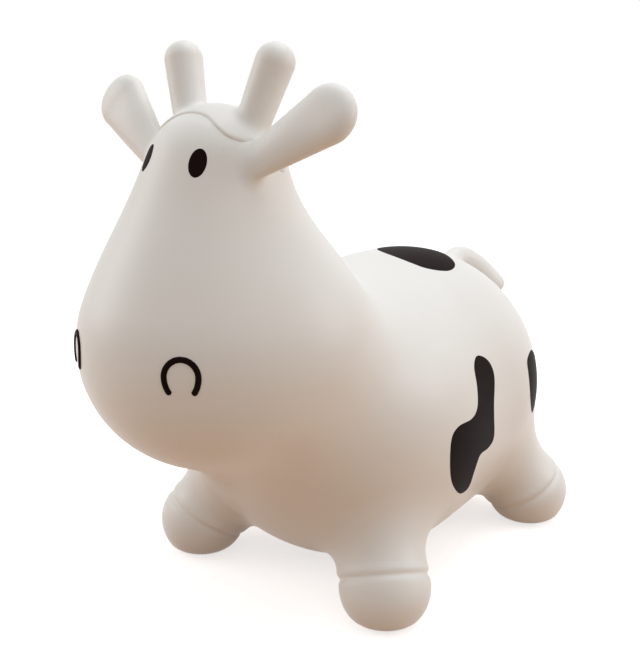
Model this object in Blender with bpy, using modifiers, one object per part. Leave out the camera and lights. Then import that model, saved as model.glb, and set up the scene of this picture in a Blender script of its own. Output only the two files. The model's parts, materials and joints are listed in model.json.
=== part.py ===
"""Bouncy ride-on cow: an air-filled toy of soft PVC that a small child sits on and holds by the ears.

Metres. The muzzle faces -Y, the cow's left side is +X, up is +Z and the hooves stand on Z = 0.
The skin is one smooth form, blended from a few rounded lobes and limbs. Each piece of skin is a set of
rings cast onto that form, with its wall laid inwards from them, so the pieces meet wherever the lobes go.
"""
import math

import bmesh
import bpy
import numpy as np
from mathutils import Matrix, Vector

# Skin, seams and paint
WALL = 0.0022
SEAM_GAP = 0.0004
PAINT_GAP = 0.0003
PAINT_THICKNESS = 0.0004
CUT_OVERRUN = 0.010
LIMB_OVERRUN = 0.002
ROOT_OVERRUN = 0.004

# Rump: the round seat
RUMP_LENGTH = 0.290
RUMP_WIDTH = 0.284
RUMP_HEIGHT = 0.282
RUMP_CLEARANCE = 0.009
RUMP_BACK = 0.1215

# Belly, under the shoulders
BELLY_LENGTH = 0.222
BELLY_WIDTH = 0.264
BELLY_HEIGHT = 0.220
BELLY_CLEARANCE = 0.010
BELLY_BACK = 0.0105
BELLY_BLEND = 0.060

# Shoulders, which fill the side from the rump to the muzzle
SHOULDER_LENGTH = 0.258
SHOULDER_WIDTH = 0.270
SHOULDER_HEIGHT = 0.200
SHOULDER_FORWARD = 0.0345
SHOULDER_LEVEL = 0.187
SHOULDER_BLEND = 0.080

# Muzzle, cheeks and crown of the head
MUZZLE_LENGTH = 0.194
MUZZLE_WIDTH = 0.240
MUZZLE_HEIGHT = 0.188
MUZZLE_FORWARD = 0.1295
MUZZLE_LEVEL = 0.262
MUZZLE_BLEND = 0.060
CHEEK_RADIUS = 0.095
CHEEK_FORWARD = 0.1765
CHEEK_LEVEL = 0.262
CROWN_RADIUS = 0.058
CROWN_FORWARD = 0.1515
CROWN_LEVEL = 0.393
NECK_BLEND = 0.050

# Seam between the torso and the head: a plane that leans back over the shoulders
NECK_SEAM_FORWARD = 0.105
NECK_SEAM_LEVEL = 0.2225
NECK_SEAM_LEAN = math.radians(45)

# Legs, which splay outwards, and squat hooves with a flat sole
FRONT_HOOF_SPREAD = 0.224
FRONT_HOOF_FORWARD = 0.0675
REAR_HOOF_SPREAD = 0.238
REAR_HOOF_BACK = 0.1955
HOOF_RADIUS = 0.0413
HOOF_PRESSED = 0.0106
SOLE_ROUNDING_SHARE = 0.9
HIP_RADIUS = 0.028
HIP_INSET = 0.024
HIP_RISE = 0.055
LEG_BLEND = 0.040
LEG_ROOT_RADIUS = 0.048
CREASE_FROM_HOOF = 0.0125
CREASE_DEPTH = 0.0016
CREASE_WIDTH = 0.0045

# Ears: paddles with a shallow dish in front, held by the child
EAR_LENGTH = 0.0693
EAR_NECK_RADIUS = 0.0122
EAR_PADDLE_RADIUS = 0.0238
EAR_FLATNESS_SHARE = 0.62
EAR_DISH_DEPTH = 0.0035
EAR_BLEND = 0.007
EAR_ROOT_RADIUS = 0.0208
EAR_SEAM_RISE = 0.014
EAR_PLACE_SHARE = (0.83, -0.28, 0.26)
EAR_WAY = (0.80, 0.26, 0.54)
EAR_FACE = (0.0, -1.0, 0.35)

# Horns: soft round stubs
HORN_LENGTH = 0.0470
HORN_BASE_RADIUS = 0.0135
HORN_TIP_RADIUS = 0.0155
HORN_BLEND = 0.008
HORN_ROOT_RADIUS = 0.0172
HORN_SEAM_RISE = 0.011
HORN_PLACE_SHARE = (0.534, 0.102, 0.672)
HORN_WAY = (0.31, 0.194, 0.93)

# Tail: its stub on the rump, then a hook that falls close behind the rump and to the left
TAIL_RADIUS = 0.0115
TAIL_TIP_RADIUS = 0.0105
TAIL_BLEND = 0.012
TAIL_ROOT_RADIUS = 0.0205
TAIL_SEAM_RISE = 0.010
TAIL_PLACE_SHARE = (0.0, 0.445, 0.70)
TAIL_WAY = (0.072, 0.90, 0.389)
TAIL_RUN = 0.0405
TAIL_DROP = 0.0306
TAIL_LEAN = 0.0300
TAIL_RISE_SHARE = 0.457
TAIL_PEAK_SHARE = (0.553, 0.795, -0.435)

# Forelock: a raised cap over the crown, with the horns coming through it
FORELOCK_THICKNESS = 0.0012
FORELOCK_WIDTH = 0.112
FORELOCK_LENGTH = 0.066
FORELOCK_SHIFT_BACK = 0.0065

# Eyes: painted ovals that slant outwards, placed by the turn and lift of the look from the crown's centre
EYE_WIDTH = 0.0138
EYE_HEIGHT = 0.0225
EYE_SLANT = math.radians(8)
EYE_TURN = math.radians(29)
EYE_LIFT = math.radians(20)

# Nostrils: raised horseshoes, deeper below than above, placed by the turn and lift from the cheeks' centre
NOSTRIL_WIDTH = 0.0300
NOSTRIL_HEIGHT = 0.0310
NOSTRIL_LOWER_SHARE = 1.33
NOSTRIL_LINE = 0.0046
NOSTRIL_RELIEF = 0.0012
NOSTRIL_TURN = math.radians(36)
NOSTRIL_LIFT = math.radians(3)
NOSTRIL_MOUTH = math.radians(80)

# Painted patches: how far back and how high their middles lie, and their two sizes
FLANK_PATCH_BACK = 0.0270
FLANK_PATCH_LEVEL = 0.1563
FLANK_PATCH_LENGTH = 0.0955
FLANK_PATCH_HEIGHT = 0.1255
HIP_PATCH_BACK = 0.1790
HIP_PATCH_LEVEL = 0.1600
HIP_PATCH_LENGTH = 0.0700
HIP_PATCH_HEIGHT = 0.0700
SADDLE_PATCH_BACK = 0.1235
SADDLE_PATCH_LEFT = 0.0110
SADDLE_PATCH_LENGTH = 0.0780
SADDLE_PATCH_WIDTH = 0.0980

# Air valve under the rump: a bush in the skin and its push-in plug
VALVE_LEAN = math.radians(32)
VALVE_COLLAR_RADIUS = 0.0110
VALVE_COLLAR_DEPTH = 0.0036
VALVE_BARREL_RADIUS = 0.0078
VALVE_BARREL_DEPTH = 0.0150
VALVE_BORE_RADIUS = 0.0050
VALVE_RECESS_RADIUS = 0.0088
VALVE_RECESS_DEPTH = 0.0018
PLUG_CLEARANCE = 0.0002
PLUG_LENGTH = 0.0150
PLUG_NOSE = 0.0020
PLUG_NOSE_SHARE = 0.75

# Outlines, as shares of a piece's length and height, walked round once
FLANK_OUTLINE_SHARES = (
    (0.28, 0.50), (0.45, 0.44), (0.50, 0.33), (0.40, 0.15), (0.38, 0.02), (0.40, -0.15), (0.29, -0.20),
    (0.10, -0.21), (0.05, -0.34), (0.05, -0.48), (-0.12, -0.47), (-0.35, -0.32), (-0.47, -0.14),
    (-0.50, 0.06), (-0.39, 0.14), (-0.13, 0.14), (0.00, 0.19), (0.07, 0.32), (0.13, 0.45),
)
HIP_OUTLINE_SHARES = (
    (-0.42, 0.47), (-0.50, 0.32), (-0.48, -0.08), (-0.34, -0.33), (-0.12, -0.46), (0.16, -0.50),
    (0.40, -0.34), (0.50, -0.06), (0.34, 0.16), (0.14, 0.36), (-0.12, 0.50),
)
SADDLE_OUTLINE_SHARES = (
    (0.38, -0.44), (0.20, -0.50), (0.00, -0.47), (-0.17, -0.38), (-0.31, -0.24), (-0.41, -0.05),
    (-0.42, 0.20), (-0.26, 0.42), (0.00, 0.50), (0.20, 0.42), (0.40, 0.22), (0.49, 0.00), (0.49, -0.22),
)
FORELOCK_OUTLINE_SHARES = (
    (0.00, -0.45), (0.13, -0.46), (0.24, -0.50), (0.33, -0.47), (0.40, -0.34), (0.46, -0.12), (0.50, 0.10),
    (0.44, 0.28), (0.26, 0.44), (0.00, 0.50), (-0.26, 0.44), (-0.44, 0.28), (-0.50, 0.10),
    (-0.46, -0.12), (-0.40, -0.34), (-0.33, -0.47), (-0.24, -0.50), (-0.13, -0.46),
)

# How finely the skin is laid: points round a ring, and rings
TORSO_SIDES = 36
TORSO_RINGS = 14
HEAD_SIDES = 28
HEAD_RINGS = 11
LEG_SIDES = 20
LEG_RINGS = 3
HOOF_RINGS = 6
EAR_SIDES = 14
EAR_RINGS = 6
HORN_SIDES = 12
HORN_RINGS = 5
TAIL_SIDES = 12
TAIL_RINGS = 9
ROOT_RINGS = 2
CUTTER_SIDES = 20
OUTLINE_STEPS = 2
OVAL_POINTS = 12
HORSESHOE_POINTS = 11
TAIL_TIP_LIFTS = np.radians((30, 60))
CAST_STEPS = 80
CAST_HALVINGS = 30
CAP_WELD = 1e-6
TINY = 1e-12

# How far a limb held back at its hole stays under the skin, of the width of its root round its neck
HELD_BACK_SHARE = 1 / 3

# How much narrower than an ear's paddle its dish is
DISH_NARROWNESS = 2

# The cow's own directions
ACROSS = np.array((1.0, 0, 0))
BACKWARD = np.array((0, 1.0, 0))
UP = np.array((0, 0, 1.0))

# Colours of the soft PVC and its paint: red, green, blue and roughness
IVORY_VINYL = (0.87, 0.85, 0.80, 0.42)
BLACK_PAINT = (0.012, 0.011, 0.011, 0.38)
VALVE_WHITE = (0.80, 0.80, 0.78, 0.50)
PLUG_GREY = (0.55, 0.55, 0.54, 0.50)


def clear_scene():
    for old in list(bpy.data.objects):
        bpy.data.objects.remove(old)


def new_collection(name):
    collection = bpy.data.collections.new(name)
    bpy.context.scene.collection.children.link(collection)
    return collection


def new_material(name, finish):
    material = bpy.data.materials.new(name)
    material.use_nodes = True
    shader = material.node_tree.nodes["Principled BSDF"]
    shader.inputs["Base Color"].default_value = (*finish[:3], 1)
    shader.inputs["Roughness"].default_value = finish[3]
    shader.inputs["Metallic"].default_value = 0
    return material


clear_scene()
TOY = new_collection("ride_on_cow")
CUTTERS = new_collection("cutters")
MATERIALS = {
    "ivory_vinyl": new_material("ivory_vinyl", IVORY_VINYL),
    "black_paint": new_material("black_paint", BLACK_PAINT),
    "valve_white": new_material("valve_white", VALVE_WHITE),
    "plug_grey": new_material("plug_grey", PLUG_GREY),
}


def size_of(vectors):
    return np.sqrt((vectors * vectors).sum(-1))


def unit(vectors):
    vectors = np.asarray(vectors, float)
    return vectors / size_of(vectors)[..., None]


def melt(first, second, blend):
    """The nearer of two distances, rounded off where they are alike."""
    closeness = np.maximum(blend - np.abs(first - second), 0) / blend
    return np.minimum(first, second) - closeness * closeness * blend / 4


def lobe(points, centre, sizes):
    """About how far points lie outside an ellipsoid of these full sizes."""
    halves = np.array(sizes) / 2
    offset = (points - centre) / halves
    reach = size_of(offset)
    return reach * (reach - 1) / np.maximum(size_of(offset / halves), TINY)


def rounded_cone(along, aside, length, base_radius, tip_radius):
    """How far points lie outside two balls and the cone round both, along a line and aside of it."""
    lean = (base_radius - tip_radius) / length
    straight = math.sqrt(1 - lean * lean)
    foot = along * straight - aside * lean
    from_base = np.hypot(along, aside) - base_radius
    from_tip = np.hypot(along - length, aside) - tip_radius
    from_cone = aside * straight + along * lean - base_radius
    on_side = np.where(foot > length * straight, from_tip, from_cone)
    return np.where(foot < 0, from_base, on_side)


RUMP_CENTRE = np.array((0, RUMP_BACK, RUMP_CLEARANCE + RUMP_HEIGHT / 2))
BELLY_CENTRE = np.array((0, BELLY_BACK, BELLY_CLEARANCE + BELLY_HEIGHT / 2))
SHOULDER_CENTRE = np.array((0, -SHOULDER_FORWARD, SHOULDER_LEVEL))
MUZZLE_CENTRE = np.array((0, -MUZZLE_FORWARD, MUZZLE_LEVEL))
CHEEK_CENTRE = np.array((0, -CHEEK_FORWARD, CHEEK_LEVEL))
CROWN_CENTRE = np.array((0, -CROWN_FORWARD, CROWN_LEVEL))
TORSO_FOCUS = (RUMP_CENTRE + SHOULDER_CENTRE) / 2
HEAD_FOCUS = (MUZZLE_CENTRE + CHEEK_CENTRE) / 2
BODY_REACH = RUMP_LENGTH + MUZZLE_LENGTH


def body(points):
    """The torso and the head without limbs: distance outside five lobes melted together."""
    torso = melt(
        lobe(points, RUMP_CENTRE, (RUMP_WIDTH, RUMP_LENGTH, RUMP_HEIGHT)),
        lobe(points, BELLY_CENTRE, (BELLY_WIDTH, BELLY_LENGTH, BELLY_HEIGHT)),
        BELLY_BLEND,
    )
    shoulders = lobe(points, SHOULDER_CENTRE, (SHOULDER_WIDTH, SHOULDER_LENGTH, SHOULDER_HEIGHT))
    torso = melt(torso, shoulders, SHOULDER_BLEND)
    brow_line = CROWN_CENTRE - CHEEK_CENTRE
    brow_length = float(size_of(brow_line))
    along = (points - CHEEK_CENTRE) @ (brow_line / brow_length)
    aside = size_of(points - CHEEK_CENTRE - along[..., None] * (brow_line / brow_length))
    head = melt(
        lobe(points, MUZZLE_CENTRE, (MUZZLE_WIDTH, MUZZLE_LENGTH, MUZZLE_HEIGHT)),
        rounded_cone(along, aside, brow_length, CHEEK_RADIUS, CROWN_RADIUS),
        MUZZLE_BLEND,
    )
    return melt(torso, head, NECK_BLEND)


def cast(field, origins, ways, reach):
    """How far along each ray the skin is: coarse steps to the first point outside, then halving."""
    step = reach / CAST_STEPS
    stops = np.arange(1, CAST_STEPS + 1) * step
    outside = field(origins[..., None, :] + ways[..., None, :] * stops[:, None]) > 0
    high = stops[np.argmax(outside, axis=-1)]
    low = high - step
    for _ in range(CAST_HALVINGS):
        middle = (low + high) / 2
        beyond = field(origins + ways * middle[..., None]) > 0
        high = np.where(beyond, middle, high)
        low = np.where(beyond, low, middle)
    return (low + high) / 2


class Limb:
    """A leg, ear, horn or tail stub: a rounded cone that leaves the body through a round hole."""

    def __init__(self, start, end, base_radius, tip_radius, root_radius, face, blend=0, flatness=1):
        self.start = np.asarray(start, float)
        self.end = np.asarray(end, float)
        self.way = unit(self.end - self.start)
        self.face = unit(face - self.way * float(self.way @ face))
        self.side = np.cross(self.face, self.way)
        self.length = float(size_of(self.end - self.start))
        self.base_radius = base_radius
        self.tip_radius = tip_radius
        self.root_radius = root_radius
        self.blend = blend
        self.flatness = flatness
        self.floor = (root_radius - base_radius) * HELD_BACK_SHARE
        self.reach = 2 * (self.length + root_radius)
        self.exit = float(cast(body, self.start[None], self.way[None], self.reach)[0])
        self.crease = None
        self.dish = 0

    def at(self, distance):
        return self.start + self.way * distance

    def field(self, points):
        """How far points lie outside the limb, with its crease or dish pressed in."""
        offset = points - self.start
        along = offset @ self.way
        deep = offset @ self.face
        aside = np.hypot(offset @ self.side, deep / self.flatness)
        value = rounded_cone(along, aside, self.length, self.base_radius, self.tip_radius) * self.flatness
        if self.crease is not None:
            value = value + CREASE_DEPTH * np.exp(-((along - self.crease) / CREASE_WIDTH) ** 2)
        if self.dish:
            hollow = np.exp(-((along - self.length) / self.tip_radius) ** 2)
            hollow = hollow * np.exp(-DISH_NARROWNESS * (offset @ self.side / self.tip_radius) ** 2)
            value = value + self.dish * hollow * np.clip(deep / self.tip_radius + 1 / 2, 0, 1)
        return value

    def circle(self, distance, sides):
        """Ways out from the limb's line at a distance along it, once round, and their middles."""
        turns = np.arange(sides) * (2 * math.pi / sides)
        ways = np.cos(turns)[:, None] * self.side + np.sin(turns)[:, None] * self.face
        return np.repeat(self.at(distance)[None], sides, axis=0), ways


def on_side(vector, side):
    return np.array(vector) * (side, 1, 1)


def leaves_skin(start, way):
    """The point where a line from inside leaves the body."""
    way = unit(way)
    return start + way * cast(body, start[None], way[None], BODY_REACH)[0]


def make_leg(spread, back, side):
    hoof = np.array((side * spread / 2, back, HOOF_RADIUS - HOOF_PRESSED))
    hip = hoof + (-side * HIP_INSET, -math.copysign(HIP_INSET, back), HIP_RISE)
    leg = Limb(hip, hoof, HIP_RADIUS, HOOF_RADIUS, LEG_ROOT_RADIUS, -BACKWARD, LEG_BLEND)
    leg.crease = leg.length - CREASE_FROM_HOOF
    return leg


def make_ear(side):
    start = CROWN_CENTRE + on_side(EAR_PLACE_SHARE, side) * CROWN_RADIUS
    way = unit(on_side(EAR_WAY, side))
    end = leaves_skin(start, way) + way * EAR_LENGTH
    radii = (EAR_NECK_RADIUS, EAR_PADDLE_RADIUS, EAR_ROOT_RADIUS)
    ear = Limb(start, end, *radii, np.array(EAR_FACE), EAR_BLEND, EAR_FLATNESS_SHARE)
    ear.dish = EAR_DISH_DEPTH
    return ear


def make_horn(side):
    start = CROWN_CENTRE + on_side(HORN_PLACE_SHARE, side) * CROWN_RADIUS
    way = unit(on_side(HORN_WAY, side))
    end = leaves_skin(start, way) + way * HORN_LENGTH
    return Limb(start, end, HORN_BASE_RADIUS, HORN_TIP_RADIUS, HORN_ROOT_RADIUS, -BACKWARD, HORN_BLEND)


def make_tail_stub():
    start = RUMP_CENTRE + np.array(TAIL_PLACE_SHARE) * (RUMP_WIDTH / 2, RUMP_LENGTH / 2, RUMP_HEIGHT / 2)
    way = unit(TAIL_WAY)
    end = leaves_skin(start, way) + way * 2 * TAIL_SEAM_RISE
    return Limb(start, end, TAIL_RADIUS, TAIL_RADIUS, TAIL_ROOT_RADIUS, UP, TAIL_BLEND)


SIDES = {"left": 1, "right": -1}
LEGS = {}
EARS = {}
HORNS = {}
for side_name, side_sign in SIDES.items():
    LEGS["front_" + side_name] = make_leg(FRONT_HOOF_SPREAD, -FRONT_HOOF_FORWARD, side_sign)
    LEGS["rear_" + side_name] = make_leg(REAR_HOOF_SPREAD, REAR_HOOF_BACK, side_sign)
    EARS[side_name] = make_ear(side_sign)
    HORNS[side_name] = make_horn(side_sign)
TAIL = make_tail_stub()
LIMBS = [*LEGS.values(), *EARS.values(), *HORNS.values(), TAIL]


def skin(points, free=None):
    """The whole outside. Only the free limb reaches out: the others stop where their holes are cut."""
    value = body(points)
    for limb in LIMBS:
        near = limb.field(points)
        if limb is not free:
            near = np.maximum(near, limb.floor)
        value = melt(value, near, limb.blend)
    return value


def span(field, focus, first, last, shares, reach):
    """Rings between two rings: the look from a focus swings from one to the other and meets the skin."""
    start_ways = unit(first - focus)
    end_ways = unit(last - focus)
    angle = np.arccos(np.clip((start_ways * end_ways).sum(-1), -1, 1))[:, None]
    rings = []
    for share in shares:
        ways = (start_ways * np.sin((1 - share) * angle) + end_ways * np.sin(share * angle)) / np.sin(angle)
        origins = np.broadcast_to(focus, ways.shape)
        rings.append(focus + ways * cast(field, origins, ways, reach)[:, None])
    return rings


def even_shares(count):
    return np.arange(count) / count


def lay_skin(name, rings, pole, material):
    """An open sheet through rings that run anticlockwise about the way they lead, closed at a pole.

    Each four-sided patch is split the same way, so that a film of paint bends where the skin bends.
    """
    sides = len(rings[0])
    points = [tuple(point) for ring in rings for point in ring]
    faces = []
    for low in range(len(rings) - 1):
        for turn in range(sides):
            after = (turn + 1) % sides
            here = low * sides
            faces.append((here + turn, here + after, here + sides + after))
            faces.append((here + turn, here + sides + after, here + sides + turn))
    if pole is not None:
        points.append(tuple(pole))
        here = (len(rings) - 1) * sides
        faces += [(here + turn, here + (turn + 1) % sides, len(points) - 1) for turn in range(sides)]
    mesh = bpy.data.meshes.new(name)
    mesh.from_pydata(points, [], faces)
    mesh.shade_smooth()
    piece = bpy.data.objects.new(name, mesh)
    piece.data.materials.append(MATERIALS[material])
    TOY.objects.link(piece)
    return piece


def give_wall(piece, thickness, outward=False):
    wall = piece.modifiers.new("wall", "SOLIDIFY")
    wall.thickness = thickness
    wall.offset = 1 if outward else -1
    wall.use_even_offset = True


def use_cutter(piece, cutter, operation):
    cut = piece.modifiers.new(operation.lower(), "BOOLEAN")
    cut.operation = operation
    cut.object = cutter
    cut.solver = "MANIFOLD"


def make_cutter(name, mesh, matrix):
    cutter = bpy.data.objects.new(name, mesh)
    cutter.matrix_world = matrix
    cutter.hide_render = True
    cutter.display_type = "WIRE"
    CUTTERS.objects.link(cutter)
    return cutter


def placed(origin, side, face, way):
    """The matrix that puts a shape's X, Y and Z along side, face and way."""
    columns = Matrix((Vector(side), Vector(face), Vector(way))).transposed().to_4x4()
    return Matrix.Translation(Vector(origin)) @ columns


def rod_cutter(name, limb, start, stop, radius):
    """A round bar on a limb's line, from one distance along it to another."""
    mesh = bpy.data.meshes.new(name)
    shape = bmesh.new()
    bmesh.ops.create_cone(
        shape, cap_ends=True, segments=CUTTER_SIDES, radius1=radius, radius2=radius, depth=stop - start
    )
    shape.to_mesh(mesh)
    shape.free()
    middle = limb.at((start + stop) / 2)
    return make_cutter(name, mesh, placed(middle, limb.side, limb.face, limb.way))


def block_cutter(name, origin, side, face, way, size):
    """A cube that stands on a plane, on the side that way points to."""
    mesh = bpy.data.meshes.new(name)
    shape = bmesh.new()
    bmesh.ops.create_cube(shape, size=size)
    shape.to_mesh(mesh)
    shape.free()
    return make_cutter(name, mesh, placed(origin + way * size / 2, side, face, way))


def outline_cutter(name, outline, origin, side, up, way, depth):
    """A smooth closed outline, drawn across side and up, and pushed along way by a depth."""
    curve = bpy.data.curves.new(name, "CURVE")
    curve.dimensions = "2D"
    curve.fill_mode = "BOTH"
    curve.extrude = depth / 2
    curve.resolution_u = OUTLINE_STEPS
    curve.render_resolution_u = OUTLINE_STEPS
    spline = curve.splines.new("BEZIER")
    spline.bezier_points.add(len(outline) - 1)
    spline.use_cyclic_u = True
    for knot, (across, above) in zip(spline.bezier_points, outline):
        knot.co = (across, above, 0)
        knot.handle_left_type = "AUTO"
        knot.handle_right_type = "AUTO"
    drawn = bpy.data.objects.new(name, curve)
    CUTTERS.objects.link(drawn)
    bpy.context.view_layer.update()
    mesh = bpy.data.meshes.new_from_object(drawn.evaluated_get(bpy.context.evaluated_depsgraph_get()))
    bpy.data.objects.remove(drawn)
    shape = bmesh.new()
    shape.from_mesh(mesh)
    bmesh.ops.remove_doubles(shape, verts=shape.verts, dist=CAP_WELD)
    bmesh.ops.recalc_face_normals(shape, faces=shape.faces)
    shape.to_mesh(mesh)
    shape.free()
    return make_cutter(name, mesh, placed(origin + way * depth / 2, side, up, way))


NECK_WAY = np.array((0, -math.sin(NECK_SEAM_LEAN), math.cos(NECK_SEAM_LEAN)))
NECK_FACE = np.array((0, math.cos(NECK_SEAM_LEAN), math.sin(NECK_SEAM_LEAN)))
NECK_SEAM = np.array((0, -NECK_SEAM_FORWARD, NECK_SEAM_LEVEL))


def half_body_rings(level, focus, way, sides, count):
    """Rings from just past the neck seam to a pole at the far end of the torso or of the head."""

    def at_level(points):
        return skin(points) - level

    turns = np.arange(sides) * (2 * math.pi / sides)
    side = np.cross(NECK_FACE, way)
    ways = np.cos(turns)[:, None] * side + np.sin(turns)[:, None] * NECK_FACE
    middles = np.repeat((NECK_SEAM - way * CUT_OVERRUN)[None], sides, axis=0)
    first = middles + ways * cast(skin, middles, ways, BODY_REACH)[:, None]
    last = np.repeat((focus + way)[None], sides, axis=0)
    pole = focus + way * cast(at_level, focus[None], way[None], BODY_REACH)[0]
    return span(at_level, focus, first, last, even_shares(count), BODY_REACH), pole


def lay_torso(name, level, material):
    rings, pole = half_body_rings(level, TORSO_FOCUS, -NECK_WAY, TORSO_SIDES, TORSO_RINGS)
    return lay_skin(name, rings, pole, material)


def lay_head(name, level, material):
    rings, pole = half_body_rings(level, HEAD_FOCUS, NECK_WAY, HEAD_SIDES, HEAD_RINGS)
    return lay_skin(name, rings, pole, material)


def cut_limb_holes(piece, limbs, spare):
    for name, limb in limbs.items():
        rod = rod_cutter(name + "_hole", limb, -limb.base_radius, 2 * limb.length, limb.root_radius + spare)
        use_cutter(piece, rod, "DIFFERENCE")


def make_torso():
    torso = lay_torso("torso_skin", 0, "ivory_vinyl")
    give_wall(torso, WALL)
    edge = NECK_SEAM - NECK_WAY * SEAM_GAP / 2
    behind = block_cutter("behind_neck", edge, -ACROSS, NECK_FACE, -NECK_WAY, 2 * BODY_REACH)
    use_cutter(torso, behind, "INTERSECT")
    cut_limb_holes(torso, {**LEGS, "tail": TAIL}, 0)
    cut_limb_holes(torso, {"valve": VALVE}, SEAM_GAP)


def make_head():
    head = lay_head("head_skin", 0, "ivory_vinyl")
    give_wall(head, WALL)
    edge = NECK_SEAM + NECK_WAY * SEAM_GAP / 2
    before = block_cutter("before_neck", edge, ACROSS, NECK_FACE, NECK_WAY, 2 * BODY_REACH)
    use_cutter(head, before, "INTERSECT")
    cut_limb_holes(head, {side + "_ear": ear for side, ear in EARS.items()}, 0)
    cut_limb_holes(head, {side + "_horn": horn for side, horn in HORNS.items()}, 0)


def make_root(name, limb, seam, sides, count):
    """The collar of skin from the hole in the body to the seam across the limb."""

    def limb_skin(points):
        return skin(points, free=limb)

    middles, ways = limb.circle(seam + LIMB_OVERRUN, sides)
    last = middles + ways * cast(limb_skin, middles, ways, limb.reach)[:, None]
    wide = limb.root_radius + ROOT_OVERRUN
    feet = limb.at(-limb.base_radius) + ways * wide
    rise = np.repeat(limb.way[None], sides, axis=0)
    first = feet + rise * cast(body, feet, rise, limb.reach)[:, None]
    focus = limb.at(limb.exit - limb.root_radius)
    rings = span(limb_skin, focus, first, last, np.linspace(0, 1, count + 1), limb.reach)
    root = lay_skin(name, rings, None, "ivory_vinyl")
    give_wall(root, WALL)
    radius = limb.root_radius - SEAM_GAP
    rod = rod_cutter(name + "_trim", limb, -limb.base_radius, seam - SEAM_GAP / 2, radius)
    use_cutter(root, rod, "INTERSECT")


def make_tip(name, limb, seam, sides, count):
    """The closed end of a limb, from the seam to its tip."""

    def limb_skin(points):
        return skin(points, free=limb)

    middles, ways = limb.circle(seam - LIMB_OVERRUN, sides)
    first = middles + ways * cast(limb_skin, middles, ways, limb.reach)[:, None]
    focus = limb.end
    pole = focus + limb.way * cast(limb_skin, focus[None], limb.way[None], limb.reach)[0]
    last = np.repeat(pole[None], sides, axis=0)
    rings = span(limb_skin, focus, first, last, even_shares(count), limb.reach)
    tip = lay_skin(name, rings, pole, "ivory_vinyl")
    give_wall(tip, WALL)
    edge = limb.at(seam + SEAM_GAP / 2)
    block = block_cutter(name + "_trim", edge, limb.side, limb.face, limb.way, limb.reach)
    use_cutter(tip, block, "INTERSECT")


def make_hoof(name, leg):
    """The hollow foot below the crease, pressed flat where it stands, with a round edge to the flat."""
    rounding = HOOF_PRESSED * SOLE_ROUNDING_SHARE

    def hoof_skin(points):
        return -melt(-skin(points, free=leg), points[..., 2], rounding)

    seam = leg.crease
    middles, ways = leg.circle(seam - LIMB_OVERRUN, LEG_SIDES)
    first = middles + ways * cast(hoof_skin, middles, ways, leg.reach)[:, None]
    sole_radius = math.sqrt((HOOF_RADIUS - rounding) ** 2 - (HOOF_RADIUS - HOOF_PRESSED) ** 2)
    below = leg.end * (1, 1, 0)
    flat_ways = unit(ways * (1, 1, 0))
    last = below + flat_ways * sole_radius
    rings = span(hoof_skin, leg.end, first, last, np.linspace(0, 1, HOOF_RINGS + 1), leg.reach)
    hoof = lay_skin(name, rings, below, "ivory_vinyl")
    give_wall(hoof, WALL)
    edge = leg.at(seam + SEAM_GAP / 2)
    block = block_cutter(name + "_trim", edge, leg.side, leg.face, leg.way, leg.reach)
    use_cutter(hoof, block, "INTERSECT")


def make_legs():
    for name, leg in LEGS.items():
        make_root(name + "_leg", leg, leg.crease, LEG_SIDES, LEG_RINGS)
        make_hoof(name + "_hoof", leg)


def make_ears_and_horns():
    for side in SIDES:
        ear = EARS[side]
        horn = HORNS[side]
        ear_seam = ear.exit + EAR_SEAM_RISE
        horn_seam = horn.exit + HORN_SEAM_RISE
        make_root(side + "_ear_root", ear, ear_seam, EAR_SIDES, ROOT_RINGS)
        make_tip(side + "_ear", ear, ear_seam, EAR_SIDES, EAR_RINGS)
        make_root(side + "_horn_root", horn, horn_seam, HORN_SIDES, ROOT_RINGS)
        make_tip(side + "_horn", horn, horn_seam, HORN_SIDES, HORN_RINGS)


def make_tail():
    """The stub on the rump, and the hook: out of the stub's way, over a peak and down close to the rump."""
    seam = TAIL.exit + TAIL_SEAM_RISE
    make_root("tail_root", TAIL, seam, TAIL_SIDES, ROOT_RINGS)
    start = TAIL.at(seam + SEAM_GAP / 2)
    rise = TAIL.way * TAIL_RUN * TAIL_RISE_SHARE
    peak = start + np.array(TAIL_PEAK_SHARE) * (TAIL_LEAN, TAIL_RUN, TAIL_DROP)
    end = start + (TAIL_LEAN, TAIL_RUN, -TAIL_DROP)
    shares = np.linspace(0, 1, TAIL_RINGS)[:, None]
    line = (1 - shares) ** 3 * start + 3 * shares * (1 - shares) ** 2 * (start + rise)
    line = line + 3 * shares ** 2 * (1 - shares) * peak + shares ** 3 * end
    ways = unit(np.gradient(line, axis=0))
    ways[0] = TAIL.way
    sides = unit(TAIL.side - ways * (ways @ TAIL.side)[:, None])
    faces = np.cross(ways, sides)
    radii = TAIL_RADIUS + (TAIL_TIP_RADIUS - TAIL_RADIUS) * shares
    turns = np.arange(TAIL_SIDES) * (2 * math.pi / TAIL_SIDES)
    round_ways = np.cos(turns)[:, None] * sides[:, None] + np.sin(turns)[:, None] * faces[:, None]
    rings = list(line[:, None] + round_ways * radii[:, None])
    for lift in TAIL_TIP_LIFTS:
        ring = line[-1] + round_ways[-1] * TAIL_TIP_RADIUS * math.cos(lift)
        rings.append(ring + ways[-1] * TAIL_TIP_RADIUS * math.sin(lift))
    tail = lay_skin("tail", rings, line[-1] + ways[-1] * TAIL_TIP_RADIUS, "ivory_vinyl")
    give_wall(tail, WALL)


def lay_film(name, lay, thickness, cutter, material):
    """A thin layer that follows the skin's own facets inside an outline."""
    film = lay(name, PAINT_GAP, material)
    give_wall(film, thickness, outward=True)
    use_cutter(film, cutter, "INTERSECT")
    return film


def sized(shares, length, height):
    return [(across * length, above * height) for across, above in shares]


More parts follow.
